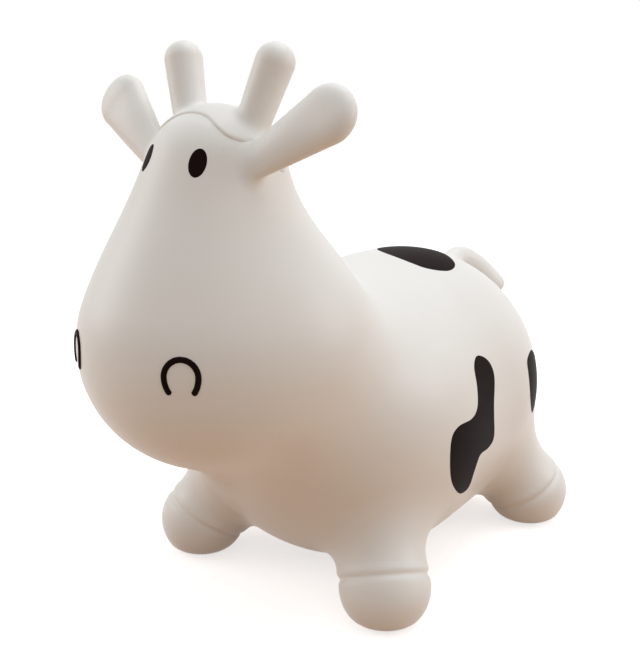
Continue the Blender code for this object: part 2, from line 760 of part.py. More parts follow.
def looking(turn, lift, side):
    """The way a look goes that is turned to one side of straight ahead and lifted."""
    level_way = ACROSS * side * math.sin(turn) - BACKWARD * math.cos(turn)
    return level_way * math.cos(lift) + UP * math.sin(lift)


def across_and_up(way):
    across = unit(np.cross(UP, way))
    return across, np.cross(way, across)


def make_eyes():
    turns = np.arange(OVAL_POINTS) * (2 * math.pi / OVAL_POINTS)
    outline = [(EYE_WIDTH / 2 * math.cos(turn), EYE_HEIGHT / 2 * math.sin(turn)) for turn in turns]
    for side, sign in SIDES.items():
        way = looking(EYE_TURN, EYE_LIFT, sign)
        level, upright = across_and_up(way)
        tall = upright * math.cos(EYE_SLANT) + level * sign * math.sin(EYE_SLANT)
        axes = (np.cross(tall, way), tall, way)
        cutter = outline_cutter(side + "_eye_outline", outline, CROWN_CENTRE, *axes, 2 * CROWN_RADIUS)
        lay_film(side + "_eye", lay_head, PAINT_THICKNESS, cutter, "black_paint")


def make_nostrils():
    """Each horseshoe is a band between two ovals, open at the bottom."""
    half_mouth = NOSTRIL_MOUTH / 2
    turns = np.linspace(half_mouth - math.pi / 2, 3 * math.pi / 2 - half_mouth, HORSESHOE_POINTS)
    heights = np.where(np.sin(turns) < 0, NOSTRIL_LOWER_SHARE, 1) * np.sin(turns)
    half_width = NOSTRIL_WIDTH / 2
    half_height = NOSTRIL_HEIGHT / 2
    inner_width = half_width - NOSTRIL_LINE
    inner_height = half_height - NOSTRIL_LINE
    outer = [(half_width * math.cos(t), half_height * height) for t, height in zip(turns, heights)]
    inner = [(inner_width * math.cos(t), inner_height * height) for t, height in zip(turns, heights)][::-1]
    for side, sign in SIDES.items():
        way = looking(NOSTRIL_TURN, NOSTRIL_LIFT, sign)
        axes = (*across_and_up(way), way)
        name = side + "_nostril_outline"
        cutter = outline_cutter(name, outer + inner, CHEEK_CENTRE, *axes, 2 * CHEEK_RADIUS)
        lay_film(side + "_nostril", lay_head, NOSTRIL_RELIEF, cutter, "black_paint")


def make_forelock():
    outline = sized(FORELOCK_OUTLINE_SHARES, FORELOCK_WIDTH, FORELOCK_LENGTH)
    origin = CROWN_CENTRE + BACKWARD * FORELOCK_SHIFT_BACK
    cutter = outline_cutter("forelock_outline", outline, origin, ACROSS, BACKWARD, UP, 2 * CROWN_RADIUS)
    forelock = lay_film("forelock", lay_head, FORELOCK_THICKNESS, cutter, "ivory_vinyl")
    for side in SIDES:
        for name, limb in (("ear", EARS[side]), ("horn", HORNS[side])):
            cut_limb_holes(forelock, {side + "_" + name + "_through_forelock": limb}, SEAM_GAP)


def make_patches():
    """Black paint on both flanks, on both hips and across the saddle."""
    flank = sized(FLANK_OUTLINE_SHARES, FLANK_PATCH_LENGTH, FLANK_PATCH_HEIGHT)
    hip = sized(HIP_OUTLINE_SHARES, HIP_PATCH_LENGTH, HIP_PATCH_HEIGHT)
    spots = (
        ("flank_patch", flank, np.array((0, FLANK_PATCH_BACK, FLANK_PATCH_LEVEL))),
        ("hip_patch", hip, np.array((0, HIP_PATCH_BACK, HIP_PATCH_LEVEL))),
    )
    for side, sign in SIDES.items():
        for name, shape, origin in spots:
            outline = [(sign * across, above) for across, above in shape]
            piece = side + "_" + name
            axes = (sign * BACKWARD, UP, sign * ACROSS)
            cutter = outline_cutter(piece + "_outline", outline, origin, *axes, RUMP_WIDTH)
            lay_film(piece, lay_torso, PAINT_THICKNESS, cutter, "black_paint")
    outline = sized(SADDLE_OUTLINE_SHARES, SADDLE_PATCH_WIDTH, SADDLE_PATCH_LENGTH)
    origin = np.array((SADDLE_PATCH_LEFT, SADDLE_PATCH_BACK, RUMP_CENTRE[2]))
    cutter = outline_cutter("saddle_patch_outline", outline, origin, ACROSS, BACKWARD, UP, RUMP_HEIGHT)
    lay_film("saddle_patch", lay_torso, PAINT_THICKNESS, cutter, "black_paint")


def turned(name, profile, closed, material):
    """A solid turned about the valve's line: radius and height pairs, from the outer end inwards."""
    mesh = bpy.data.meshes.new(name)
    edges = [(low, low + 1) for low in range(len(profile) - 1)]
    if closed:
        edges.append((len(profile) - 1, 0))
    mesh.from_pydata([(radius, 0, height) for radius, height in profile], edges, [])
    piece = bpy.data.objects.new(name, mesh)
    piece.data.materials.append(MATERIALS[material])
    piece.matrix_world = placed(VALVE.end, VALVE.side, VALVE.face, VALVE.way)
    TOY.objects.link(piece)
    screw = piece.modifiers.new("turn", "SCREW")
    screw.steps = CUTTER_SIDES
    screw.render_steps = CUTTER_SIDES
    screw.use_merge_vertices = True
    screw.merge_threshold = CAP_WELD
    screw.use_smooth_shade = False
    return piece


def make_valve_line():
    """The valve's line through the skin, as a limb whose hole takes the bush's collar."""
    way = np.array((0, math.sin(VALVE_LEAN), -math.cos(VALVE_LEAN)))
    surface = leaves_skin(RUMP_CENTRE, way)
    start = surface - way * 2 * VALVE_BARREL_DEPTH
    return Limb(start, surface, VALVE_BARREL_RADIUS, VALVE_BARREL_RADIUS, VALVE_COLLAR_RADIUS, ACROSS)


def make_valve():
    recess_floor = -VALVE_RECESS_DEPTH
    bush = (
        (VALVE_RECESS_RADIUS, 0),
        (VALVE_COLLAR_RADIUS, 0),
        (VALVE_COLLAR_RADIUS, -VALVE_COLLAR_DEPTH),
        (VALVE_BARREL_RADIUS, -VALVE_COLLAR_DEPTH),
        (VALVE_BARREL_RADIUS, -VALVE_BARREL_DEPTH),
        (VALVE_BORE_RADIUS, -VALVE_BARREL_DEPTH),
        (VALVE_BORE_RADIUS, recess_floor),
        (VALVE_RECESS_RADIUS, recess_floor),
    )
    turned("valve_bush", bush, True, "valve_white")
    stem_radius = VALVE_BORE_RADIUS - PLUG_CLEARANCE
    head_radius = VALVE_RECESS_RADIUS - PLUG_CLEARANCE
    plug = (
        (0, 0),
        (head_radius, 0),
        (head_radius, recess_floor + PLUG_CLEARANCE),
        (stem_radius, recess_floor + PLUG_CLEARANCE),
        (stem_radius, PLUG_NOSE - PLUG_LENGTH),
        (stem_radius * PLUG_NOSE_SHARE, -PLUG_LENGTH),
        (0, -PLUG_LENGTH),
    )
    turned("valve_plug", plug, False, "plug_grey")


VALVE = make_valve_line()
make_torso()
make_head()
make_forelock()
make_ears_and_horns()
make_legs()
make_tail()
make_eyes()
make_nostrils()
make_patches()
make_valve()
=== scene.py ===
"""Looks of the bouncy ride-on cow: soft ivory vinyl, black paint, an air valve, and a plain pale studio.

In metres and the frame's axes: the muzzle faces -Y, the cow's left is +X and the hooves stand on Z = 0.
The skin is one smooth form. The torso and head are one sheet of rings laid on it, and each limb is a sheet
of rings that swells out of it.
"""
import json
import math

import bpy
import numpy as np
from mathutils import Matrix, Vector


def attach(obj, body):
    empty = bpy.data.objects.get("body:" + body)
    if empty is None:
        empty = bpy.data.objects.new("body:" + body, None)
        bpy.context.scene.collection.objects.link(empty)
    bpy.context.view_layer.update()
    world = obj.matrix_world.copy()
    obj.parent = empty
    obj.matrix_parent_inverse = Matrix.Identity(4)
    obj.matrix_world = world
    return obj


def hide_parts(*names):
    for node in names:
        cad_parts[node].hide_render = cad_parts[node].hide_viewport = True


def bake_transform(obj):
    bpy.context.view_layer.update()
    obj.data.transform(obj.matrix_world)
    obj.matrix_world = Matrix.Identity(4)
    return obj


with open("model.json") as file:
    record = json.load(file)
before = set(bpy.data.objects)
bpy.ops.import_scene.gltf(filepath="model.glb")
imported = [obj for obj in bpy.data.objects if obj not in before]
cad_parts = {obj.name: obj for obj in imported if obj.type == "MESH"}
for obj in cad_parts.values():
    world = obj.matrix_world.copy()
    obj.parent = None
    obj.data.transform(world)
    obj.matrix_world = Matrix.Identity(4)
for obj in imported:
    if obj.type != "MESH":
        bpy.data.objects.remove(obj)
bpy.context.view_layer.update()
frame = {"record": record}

# The lobes of the body: centre and full sizes, and how softly each melts into the last
RUMP_CENTRE = np.array((0, 0.1215, 0.150))
RUMP_SIZES = (0.284, 0.290, 0.282)
BELLY_CENTRE = np.array((0, 0.0105, 0.120))
BELLY_SIZES = (0.264, 0.222, 0.220)
BELLY_BLEND = 0.060
SHOULDER_CENTRE = np.array((0, -0.0345, 0.187))
SHOULDER_SIZES = (0.270, 0.258, 0.200)
SHOULDER_BLEND = 0.080
MUZZLE_CENTRE = np.array((0, -0.1295, 0.262))
MUZZLE_SIZES = (0.240, 0.194, 0.188)
MUZZLE_BLEND = 0.060
CHEEK_CENTRE = np.array((0, -0.1765, 0.262))
CHEEK_RADIUS = 0.095
CROWN_CENTRE = np.array((0, -0.1515, 0.393))
CROWN_RADIUS = 0.058
NECK_BLEND = 0.050
NECK_SEAM = np.array((0, -0.105, 0.2225))
NECK_LEAN = math.radians(45)
TORSO_FOCUS = (RUMP_CENTRE + SHOULDER_CENTRE) / 2
HEAD_FOCUS = (MUZZLE_CENTRE + CHEEK_CENTRE) / 2

# Legs and hooves: the groove lies a little below the seam, and the band of rings round it is finer
HOOF_RADIUS = 0.0413
HOOF_PRESSED = 0.0106
SOLE_ROUNDING = 0.00954
HIP_RADIUS = 0.028
HIP_INSET = 0.024
HIP_RISE = 0.055
LEG_BLEND = 0.040
SEAM_FROM_HOOF = 0.0125
CREASE_FROM_HOOF = 0.0085
CREASE_DEPTH = 0.0019
CREASE_WIDTH = 0.0030
ROLL_HEIGHT = 0.0010
ROLL_WIDTH = 0.0060
CREASE_BAND = 0.0120
LEG_BEND_START = 0.0210

# Ears, each with a dish that fades faster across the paddle than along it
EAR_LENGTH = 0.0693
EAR_NECK_RADIUS = 0.0122
EAR_PADDLE_RADIUS = 0.0238
EAR_FLATNESS_SHARE = 0.62
EAR_DISH_DEPTH = 0.0042
EAR_DISH_CROSS_FADE = 2
EAR_BLEND = 0.007
EAR_SEAM_RISE = 0.014
EAR_PLACE_SHARE = (0.83, -0.28, 0.26)
EAR_WAY = (0.80, 0.26, 0.54)
EAR_FACE = (0.0, -1.0, 0.35)

# Horns
HORN_LENGTH = 0.0470
HORN_BASE_RADIUS = 0.0135
HORN_TIP_RADIUS = 0.0155
HORN_BLEND = 0.007
HORN_SEAM_RISE = 0.011
HORN_PLACE_SHARE = (0.534, 0.102, 0.672)
HORN_WAY = (0.31, 0.194, 0.93)

# Tail
TAIL_RADIUS = 0.0115
TAIL_TIP_RADIUS = 0.0105
TAIL_BLEND = 0.014
TAIL_SEAM_RISE = 0.010
TAIL_PLACE_SHARE = (0.0, 0.445, 0.70)
TAIL_WAY = (0.072, 0.90, 0.389)
TAIL_RUN = 0.0405
TAIL_DROP = 0.0306
TAIL_LEAN = 0.0300
TAIL_RISE_SHARE = 0.457
TAIL_PEAK_SHARE = (0.553, 0.795, -0.435)

# Forelock: a raised layer over the crown with a soft lip
FORELOCK_THICKNESS = 0.0016
FORELOCK_LIP = 0.0022
FORELOCK_WIDTH = 0.112
FORELOCK_LENGTH = 0.066
FORELOCK_SHIFT_BACK = 0.0065

# Eyes and nostrils
EYE_WIDTH = 0.0138
EYE_HEIGHT = 0.0225
EYE_SLANT = math.radians(8)
EYE_TURN = math.radians(29)
EYE_LIFT = math.radians(20)
NOSTRIL_WIDTH = 0.0300
NOSTRIL_HEIGHT = 0.0310
NOSTRIL_LOWER_SHARE = 1.33
NOSTRIL_LINE = 0.0046
NOSTRIL_RELIEF = 0.0014
NOSTRIL_TURN = math.radians(36)
NOSTRIL_LIFT = math.radians(3)
NOSTRIL_MOUTH = math.radians(80)

# Painted patches: the middle of each and its two sizes
FLANK_PLACE = (0, 0.0270, 0.1563)
FLANK_SIZES = (0.0955, 0.1255)
HIP_PLACE = (0, 0.1790, 0.1600)
HIP_SIZES = (0.0700, 0.0700)
SADDLE_PLACE = (0.0110, 0.1235, 0.1500)
SADDLE_SIZES = (0.0980, 0.0780)
PAINT_THICKNESS = 0.00030
PAINT_LIP = 0.001

# How far a layer's edge and a limb's outer edge go under the skin
EDGE_TUCK = 0.00030
ROOT_TUCK = 0.00008

# Air valve
VALVE_LEAN = math.radians(32)
VALVE_HOLE = 0.0100
COLLAR_RADIUS = 0.0110
BARREL_RADIUS = 0.0078
BARREL_DEPTH = 0.0150
BORE_RADIUS = 0.0050
RECESS_RADIUS = 0.0088
RECESS_DEPTH = 0.0018
PLUG_CLEARANCE = 0.0002
PLUG_NOSE = 0.0020
PLUG_NOSE_SHARE = 0.75
VALVE_ROUNDING = 0.0004
ROUNDING_MIDDLE_SHARE = 0.3

# Outlines, as shares of a piece's two sizes, walked round once
FLANK_OUTLINE_SHARES = (
    (0.28, 0.50), (0.45, 0.44), (0.50, 0.33), (0.40, 0.15), (0.38, 0.02), (0.40, -0.15), (0.29, -0.20),
    (0.10, -0.21), (0.05, -0.34), (0.05, -0.48), (-0.12, -0.47), (-0.35, -0.32), (-0.47, -0.14),
    (-0.50, 0.06), (-0.39, 0.14), (-0.13, 0.14), (0.00, 0.19), (0.07, 0.32), (0.13, 0.45),
)
HIP_OUTLINE_SHARES = (
    (-0.42, 0.47), (-0.50, 0.32), (-0.48, -0.08), (-0.34, -0.33), (-0.12, -0.46), (0.16, -0.50),
    (0.40, -0.34), (0.50, -0.06), (0.34, 0.16), (0.14, 0.36), (-0.12, 0.50),
)
SADDLE_OUTLINE_SHARES = (
    (0.38, -0.44), (0.20, -0.50), (0.00, -0.47), (-0.17, -0.38), (-0.31, -0.24), (-0.41, -0.05),
    (-0.42, 0.20), (-0.26, 0.42), (0.00, 0.50), (0.20, 0.42), (0.40, 0.22), (0.49, 0.00), (0.49, -0.22),
)
FORELOCK_OUTLINE_SHARES = (
    (0.00, -0.45), (0.13, -0.46), (0.24, -0.50), (0.33, -0.47), (0.40, -0.34), (0.46, -0.12), (0.50, 0.10),
    (0.44, 0.28), (0.26, 0.44), (0.00, 0.50), (-0.26, 0.44), (-0.44, 0.28), (-0.50, 0.10),
    (-0.46, -0.12), (-0.40, -0.34), (-0.33, -0.47), (-0.24, -0.50), (-0.13, -0.46),
)

# Where the rings of the flank patch shrink to, so that none of them crosses its outline
FLANK_HEART_SHARE = (0.00, -0.05)

# How finely the sheets are laid: points round a ring, and rings
BODY_SIDES = 240
TORSO_RINGS = 140
HEAD_RINGS = 110
LIMB_SIDES = 112
ROOT_RINGS = 34
TIP_RINGS = 46
BAND_RINGS = 40
TAIL_DOME_LIFTS = np.radians(np.arange(8, 90, 8))
OUTLINE_POINTS = 200
OUTLINE_RINGS = 26
FORELOCK_PLAN_POINTS = 72
HEART_SHARE = 0.04
LIP_SHARES = np.sin(np.linspace(0.15, 1, 8) * math.pi / 2)
OVAL_POINTS = 24
NOSTRIL_STEPS = 96
NOSTRIL_SIDES = 20
VALVE_SIDES = 64

# How a ray finds the skin: how far it is followed, in how many steps, and how often the last one is halved
BODY_REACH = 0.50
CAST_STEPS = 40
HALVINGS = 24

# How far out in its blend a limb's sheet dips under the skin, and how wide the sheet is, as shares
TUCK_FROM_SHARE = 0.90
SWELLING_SHARE = 1.30

# A short step, for slopes and a pole's first ring, and the least number that a length is divided by
NUDGE = 1e-5
TINY = 1e-12

ACROSS = np.array((1.0, 0, 0))
BACKWARD = np.array((0, 1.0, 0))
UP = np.array((0, 0, 1.0))
SIDES = {"left": 1, "right": -1}


def size_of(vectors):
    """The lengths of vectors: the root of the sum of their squares."""
    return np.sqrt((vectors * vectors).sum(-1))


def unit(vectors):
    """Vectors divided by their lengths."""
    vectors = np.asarray(vectors, float)
    return vectors / size_of(vectors)[..., None]


def melt(first, second, blend):
    """The nearer of two distances, less blend/4 times the square of 1 - |difference|/blend, at least 0."""
    closeness = np.maximum(blend - np.abs(first - second), 0) / blend
    return np.minimum(first, second) - closeness * closeness * blend / 4


def lobe(points, centre, sizes):
    """Distance outside an ellipsoid: r (r - 1) / |gradient| with r the scaled radius."""
    halves = np.array(sizes) / 2
    offset = (points - centre) / halves
    reach = size_of(offset)
    return reach * (reach - 1) / np.maximum(size_of(offset / halves), TINY)


def rounded_cone(along, aside, length, base_radius, tip_radius):
    """Distance outside two balls and the cone that touches both."""
    lean = (base_radius - tip_radius) / length
    straight = math.sqrt(1 - lean * lean)
    foot = along * straight - aside * lean
    from_base = np.hypot(along, aside) - base_radius
    from_tip = np.hypot(along - length, aside) - tip_radius
    from_cone = aside * straight + along * lean - base_radius
    return np.where(foot < 0, from_base, np.where(foot > length * straight, from_tip, from_cone))


def body(points):
    """Rump, belly and shoulders melted together, and the head: a muzzle and a cone up to the crown."""
    rump = lobe(points, RUMP_CENTRE, RUMP_SIZES)
    torso = melt(rump, lobe(points, BELLY_CENTRE, BELLY_SIZES), BELLY_BLEND)
    torso = melt(torso, lobe(points, SHOULDER_CENTRE, SHOULDER_SIZES), SHOULDER_BLEND)
    brow_line = CROWN_CENTRE - CHEEK_CENTRE
    brow_length = float(size_of(brow_line))
    brow_way = brow_line / brow_length
    along = (points - CHEEK_CENTRE) @ brow_way
    aside = size_of(points - CHEEK_CENTRE - along[..., None] * brow_way)
    brow = rounded_cone(along, aside, brow_length, CHEEK_RADIUS, CROWN_RADIUS)
    head = melt(lobe(points, MUZZLE_CENTRE, MUZZLE_SIZES), brow, MUZZLE_BLEND)
    return melt(torso, head, NECK_BLEND)


def closed_curve(outline, count):
    """A smooth closed curve through the outline's points: Catmull-Rom cubics, evenly in each stretch."""
    knots = np.array(outline, float)
    place = np.arange(count) * (len(knots) / count)
    here = place.astype(int)
    t = (place - here)[:, None]
    before, start, end, after = (knots[(here + step) % len(knots)] for step in (-1, 0, 1, 2))
    return (
        start
        + t / 2 * (end - before)
        + t ** 2 / 2 * (2 * before - 5 * start + 4 * end - after)
        + t ** 3 / 2 * (3 * start - before - 3 * end + after)
    )


def inside_by(places, outline):
    """How far places lie inside a closed outline, by the nearest of its sides, and 0 outside it."""
    run = np.roll(outline, -1, axis=0) - outline
    offset = places[..., None, :] - outline
    share = np.clip((offset * run).sum(-1) / (run * run).sum(-1), 0, 1)
    gap = size_of(offset - share[..., None] * run).min(-1)
    starts_below = offset[..., 1] >= 0
    ends_above = offset[..., 1] - run[:, 1] < 0
    turns_left = run[:, 0] * offset[..., 1] - run[:, 1] * offset[..., 0] > 0
    upward = (starts_below & ends_above & turns_left).sum(-1)
    downward = (~starts_below & ~ends_above & ~turns_left).sum(-1)
    return np.where(upward != downward, gap, 0)


def lip_height(inset, lip):
    """A quarter round: the root of 1 - (1 - d)^2, with d the way in from the edge in lips, at most 1."""
    share = np.clip(inset / lip, 0, 1)
    return np.sqrt(share * (2 - share))


FORELOCK_ORIGIN = CROWN_CENTRE + (0, FORELOCK_SHIFT_BACK, 0)
FORELOCK_OUTLINE = np.array(FORELOCK_OUTLINE_SHARES) * (FORELOCK_WIDTH, FORELOCK_LENGTH)
FORELOCK_PLAN = closed_curve(FORELOCK_OUTLINE, FORELOCK_PLAN_POINTS)


def raised(points):
    """The body with the forelock's layer on it, for the horns and ears to stand on."""
    inset = inside_by(points[..., :2] - FORELOCK_ORIGIN[:2], FORELOCK_PLAN)
    height = FORELOCK_THICKNESS * lip_height(inset, FORELOCK_LIP)
    return body(points) - np.where(points[..., 2] > CROWN_CENTRE[2], height, 0)


def cast(field, origins, ways, reach):
    """How far along each ray it first leaves the skin: coarse steps to a point outside, then halving."""
    step = reach / CAST_STEPS
    within = np.ones(ways.shape[:-1], bool)
    low = np.zeros(ways.shape[:-1])
    for count in range(1, CAST_STEPS):
        within &= field(origins + ways * (count * step)) <= 0
        low += within * step
    high = low + step
    for _ in range(HALVINGS):
        middle = (low + high) / 2
        beyond = field(origins + ways * middle[..., None]) > 0
        high = np.where(beyond, middle, high)
        low = np.where(beyond, low, middle)
    return (low + high) / 2


def out_of(field, points):
    """The ways straight out of the skin: the field's slope by central differences."""
    nudges = [axis * NUDGE for axis in (ACROSS, BACKWARD, UP)]
    slopes = [field(points + nudge) - field(points - nudge) for nudge in nudges]
    return unit(np.stack(slopes, axis=-1))


def round_ways(side, face, sides):
    """Ways evenly round a circle: cos(turn) side + sin(turn) face."""
    turns = np.arange(sides) * (2 * math.pi / sides)
    return np.cos(turns)[:, None] * side + np.sin(turns)[:, None] * face


def span(field, focus, first, last, shares, reach):
    """Rings from first to last: each look from a focus swings evenly between them and meets the skin."""
    start_ways = unit(first - focus)
    end_ways = unit(last - focus)
    angle = np.arccos(np.clip((start_ways * end_ways).sum(-1), -1, 1))[None, :, None]
    swing = np.asarray(shares)[:, None, None]
    ways = (start_ways * np.sin((1 - swing) * angle) + end_ways * np.sin(swing * angle)) / np.sin(angle)
    return focus + ways * cast(field, np.broadcast_to(focus, ways.shape), ways, reach)[..., None]


def lay_sheet(name, rings, material, slot, start_pole=None, end_pole=None):
    """A grid of rings by sides as a mesh: quads between rings, and a fan to each pole that is given."""
    count, sides = rings.shape[:2]
    points = rings.reshape(-1, 3)
    low = np.arange(count - 1)[:, None] * sides
    turn = np.arange(sides)
    after = (turn + 1) % sides
    quads = np.stack((low + turn, low + after, low + sides + after, low + sides + turn), axis=-1)
    fans = []
    if start_pole is not None:
        fans.append(np.stack((after, turn, np.full(sides, len(points))), axis=-1))
        points = np.vstack((points, start_pole))
    if end_pole is not None:
        top = (count - 1) * sides
        fans.append(np.stack((top + turn, top + after, np.full(sides, len(points))), axis=-1))
        points = np.vstack((points, end_pole))
    faces = quads.reshape(-1, 4).tolist() + [face for fan in fans for face in fan.tolist()]
    mesh = bpy.data.meshes.new(name)
    mesh.from_pydata(points, [], faces)
    mesh.materials.append(material)
    mesh.shade_smooth()
    piece = bpy.data.objects.new(name, mesh)
    bpy.context.scene.collection.objects.link(piece)
    return piece


class Limb:
    """A rounded cone from start to end, flattened across its face, that swells out of the ground skin."""

    def __init__(self, start, end, radii, face, blend, ground=body, flatness=1):
        self.start = np.asarray(start, float)
        self.end = np.asarray(end, float)
        self.way = unit(self.end - self.start)
        self.face = unit(face - self.way * float(self.way @ face))
        self.side = np.cross(self.face, self.way)
        self.length = float(size_of(self.end - self.start))
        self.base_radius, self.tip_radius = radii
        self.blend = blend
        self.ground = ground
        self.flatness = flatness
        self.reach = 2 * (self.length + self.base_radius + blend)
        self.exit = float(cast(body, self.start[None], self.way[None], self.reach)[0])
        self.crease = None
        self.dish = 0

    def at(self, distance):
        return self.start + self.way * distance

    def cone(self, points):
        """The flattened cone, with a groove and a roll above it on a leg, or a dish on an ear.

        Each is a bell curve, exp(-d^2) with d in widths from its middle, added to or taken off the distance.
        """
        offset = points - self.start
        along = offset @ self.way
        deep = offset @ self.face
        aside = np.hypot(offset @ self.side, deep / self.flatness)
        value = rounded_cone(along, aside, self.length, self.base_radius, self.tip_radius) * self.flatness
        if self.crease is not None:
            value = value + CREASE_DEPTH * np.exp(-((along - self.crease) / CREASE_WIDTH) ** 2)
            value = value - ROLL_HEIGHT * np.exp(-((along - self.crease + ROLL_WIDTH) / ROLL_WIDTH) ** 2)
        if self.dish:
            hollow = np.exp(-((along - self.length) / self.tip_radius) ** 2)
            hollow = hollow * np.exp(-EAR_DISH_CROSS_FADE * (offset @ self.side / self.tip_radius) ** 2)
            value = value + self.dish * hollow * np.clip(deep / self.tip_radius + 1 / 2, 0, 1)
        return value

    def skin(self, points):
        """The ground melted with the cone, and tucked a little under it where the cone is a blend away."""
        apart = self.cone(points)
        past = np.clip((apart / self.blend - TUCK_FROM_SHARE) / (1 - TUCK_FROM_SHARE), 0, 1)
        return melt(self.ground(points), apart, self.blend) + ROOT_TUCK * past * past * (3 - 2 * past)

    def ring(self, distance, sides):
        """Where the skin lies round the limb's line at a distance along it."""
        ways = round_ways(self.side, self.face, sides)
        middles = np.repeat(self.at(distance)[None], sides, axis=0)
        return middles + ways * cast(self.skin, middles, ways, self.reach)[:, None]

    def wide_ring(self, sides):
        """The swelling's outer edge: a flat ring where the limb leaves, cast straight out to the skin."""
        middle = self.at(self.exit)
        out = out_of(body, middle)
        radius = (self.base_radius + self.blend) * SWELLING_SHARE
        side = unit(self.side - out * float(out @ self.side))
        ways = round_ways(side, np.cross(out, side), sides)
        feet = middle - out * radius + ways * radius
        rise = np.repeat(out[None], sides, axis=0)
        return feet + rise * cast(self.skin, feet, rise, self.reach)[:, None]


def root_rings(limb, seam_ring):
    """Rings from the swelling's outer edge up to the seam across the limb."""
    wide = limb.wide_ring(LIMB_SIDES)
    focus = limb.at(limb.exit - limb.base_radius - limb.blend)
    return span(limb.skin, focus, wide, seam_ring, np.linspace(0, 1, ROOT_RINGS), limb.reach), focus


def bend_between(limb, edge, seam, rise):
    """Where a limb's bend starts, past the furthest point of its swelling's edge, and where it ends."""
    reach = limb.exit + max(0, float(((edge - limb.at(limb.exit)) @ limb.way).max()))
    return limb.at(reach), limb.at(max(reach, seam) + rise)


def on_side(vector, side):
    """A vector as it is on the left, or mirrored for the right."""
    return np.array(vector) * (side, 1, 1)


def leaves_skin(start, way):
    """The point where a ray from inside leaves the body."""
    way = unit(way)
    return start + way * cast(body, start[None], way[None], BODY_REACH)[0]


# Materials: the stops of the ramp between two tones, and how strongly the grain bumps

TINT_STOPS = (0.35, 0.65)
BUMP_STRENGTH = 0.35


def new_material(name):
    """A material, its nodes and its shader."""
    material = bpy.data.materials.new(name)
    material.use_nodes = True
    tree = material.node_tree
    return material, tree, tree.nodes["Principled BSDF"]


def add_noise(tree, scale, detail):
    """A noise that is fixed to the piece."""
    place = tree.nodes.new("ShaderNodeTexCoord")
    noise = tree.nodes.new("ShaderNodeTexNoise")
    noise.inputs["Scale"].default_value = scale
    noise.inputs["Detail"].default_value = detail
    tree.links.new(place.outputs["Object"], noise.inputs["Vector"])
    return noise


def tint(tree, noise, low, high):
    """A colour that drifts between two close tones over the middle of a noise's range."""
    ramp = tree.nodes.new("ShaderNodeValToRGB")
    for stop, place, colour in zip(ramp.color_ramp.elements, TINT_STOPS, (low, high)):
        stop.position = place
        stop.color = (*colour, 1)
    tree.links.new(noise.outputs["Fac"], ramp.inputs["Fac"])
    return ramp


def skin_bump(tree, shader, scale, distance):
    """The faint orange peel of a moulded skin."""
    grain = add_noise(tree, scale, detail=2)
    bump = tree.nodes.new("ShaderNodeBump")
    bump.inputs["Strength"].default_value = BUMP_STRENGTH
    bump.inputs["Distance"].default_value = distance
    tree.links.new(grain.outputs["Fac"], bump.inputs["Height"])
    tree.links.new(bump.outputs["Normal"], shader.inputs["Normal"])


def drifting_roughness(tree, shader, low, high):
    """A sheen that drifts between two levels with a noise, as on a skin that was handled."""
    wear = add_noise(tree, scale=9, detail=3)
    spread = tree.nodes.new("ShaderNodeMapRange")
    spread.inputs["To Min"].default_value = low
    spread.inputs["To Max"].default_value = high
    tree.links.new(wear.outputs["Fac"], spread.inputs["Value"])
    tree.links.new(spread.outputs["Result"], shader.inputs["Roughness"])


def make_ivory_vinyl():
    """Soft warm white vinyl with a low sheen."""
    material, tree, shader = new_material("ivory_vinyl")
    noise = add_noise(tree, scale=6, detail=3)
    ramp = tint(tree, noise, low=(0.845, 0.825, 0.785), high=(0.880, 0.865, 0.830))
    tree.links.new(ramp.outputs["Color"], shader.inputs["Base Color"])
    drifting_roughness(tree, shader, low=0.36, high=0.46)
    shader.inputs["IOR"].default_value = 1.50
    skin_bump(tree, shader, scale=900, distance=0.00012)
    return material


def make_black_paint():
    """Brown-black paint with hardly any sheen."""
    material, tree, shader = new_material("black_paint")
    noise = add_noise(tree, scale=30, detail=3)
    ramp = tint(tree, noise, low=(0.0090, 0.0040, 0.0034), high=(0.0125, 0.0058, 0.0050))
    tree.links.new(ramp.outputs["Color"], shader.inputs["Base Color"])
    drifting_roughness(tree, shader, low=0.46, high=0.54)
    shader.inputs["IOR"].default_value = 1.45
    shader.inputs["Specular IOR Level"].default_value = 0.03
    skin_bump(tree, shader, scale=900, distance=0.00008)
    return material


def make_plain_plastic(name, low, high):
    """Hard plastic for the valve."""
    material, tree, shader = new_material(name)
    ramp = tint(tree, add_noise(tree, scale=40, detail=2), low, high)
    tree.links.new(ramp.outputs["Color"], shader.inputs["Base Color"])
    drifting_roughness(tree, shader, low=0.42, high=0.52)
    skin_bump(tree, shader, scale=1200, distance=0.00006)
    return material


IVORY = make_ivory_vinyl()
BLACK = make_black_paint()
BUSH_WHITE = make_plain_plastic("bush_white", (0.74, 0.74, 0.72), (0.80, 0.80, 0.78))
PLUG_GREY = make_plain_plastic("plug_grey", (0.50, 0.50, 0.49), (0.55, 0.55, 0.54))


# Body


def valve_place():
    """The middle of the valve's mouth on the skin, and the way out of it."""
    way = BACKWARD * math.sin(VALVE_LEAN) - UP * math.cos(VALVE_LEAN)
    return leaves_skin(RUMP_CENTRE, way), way


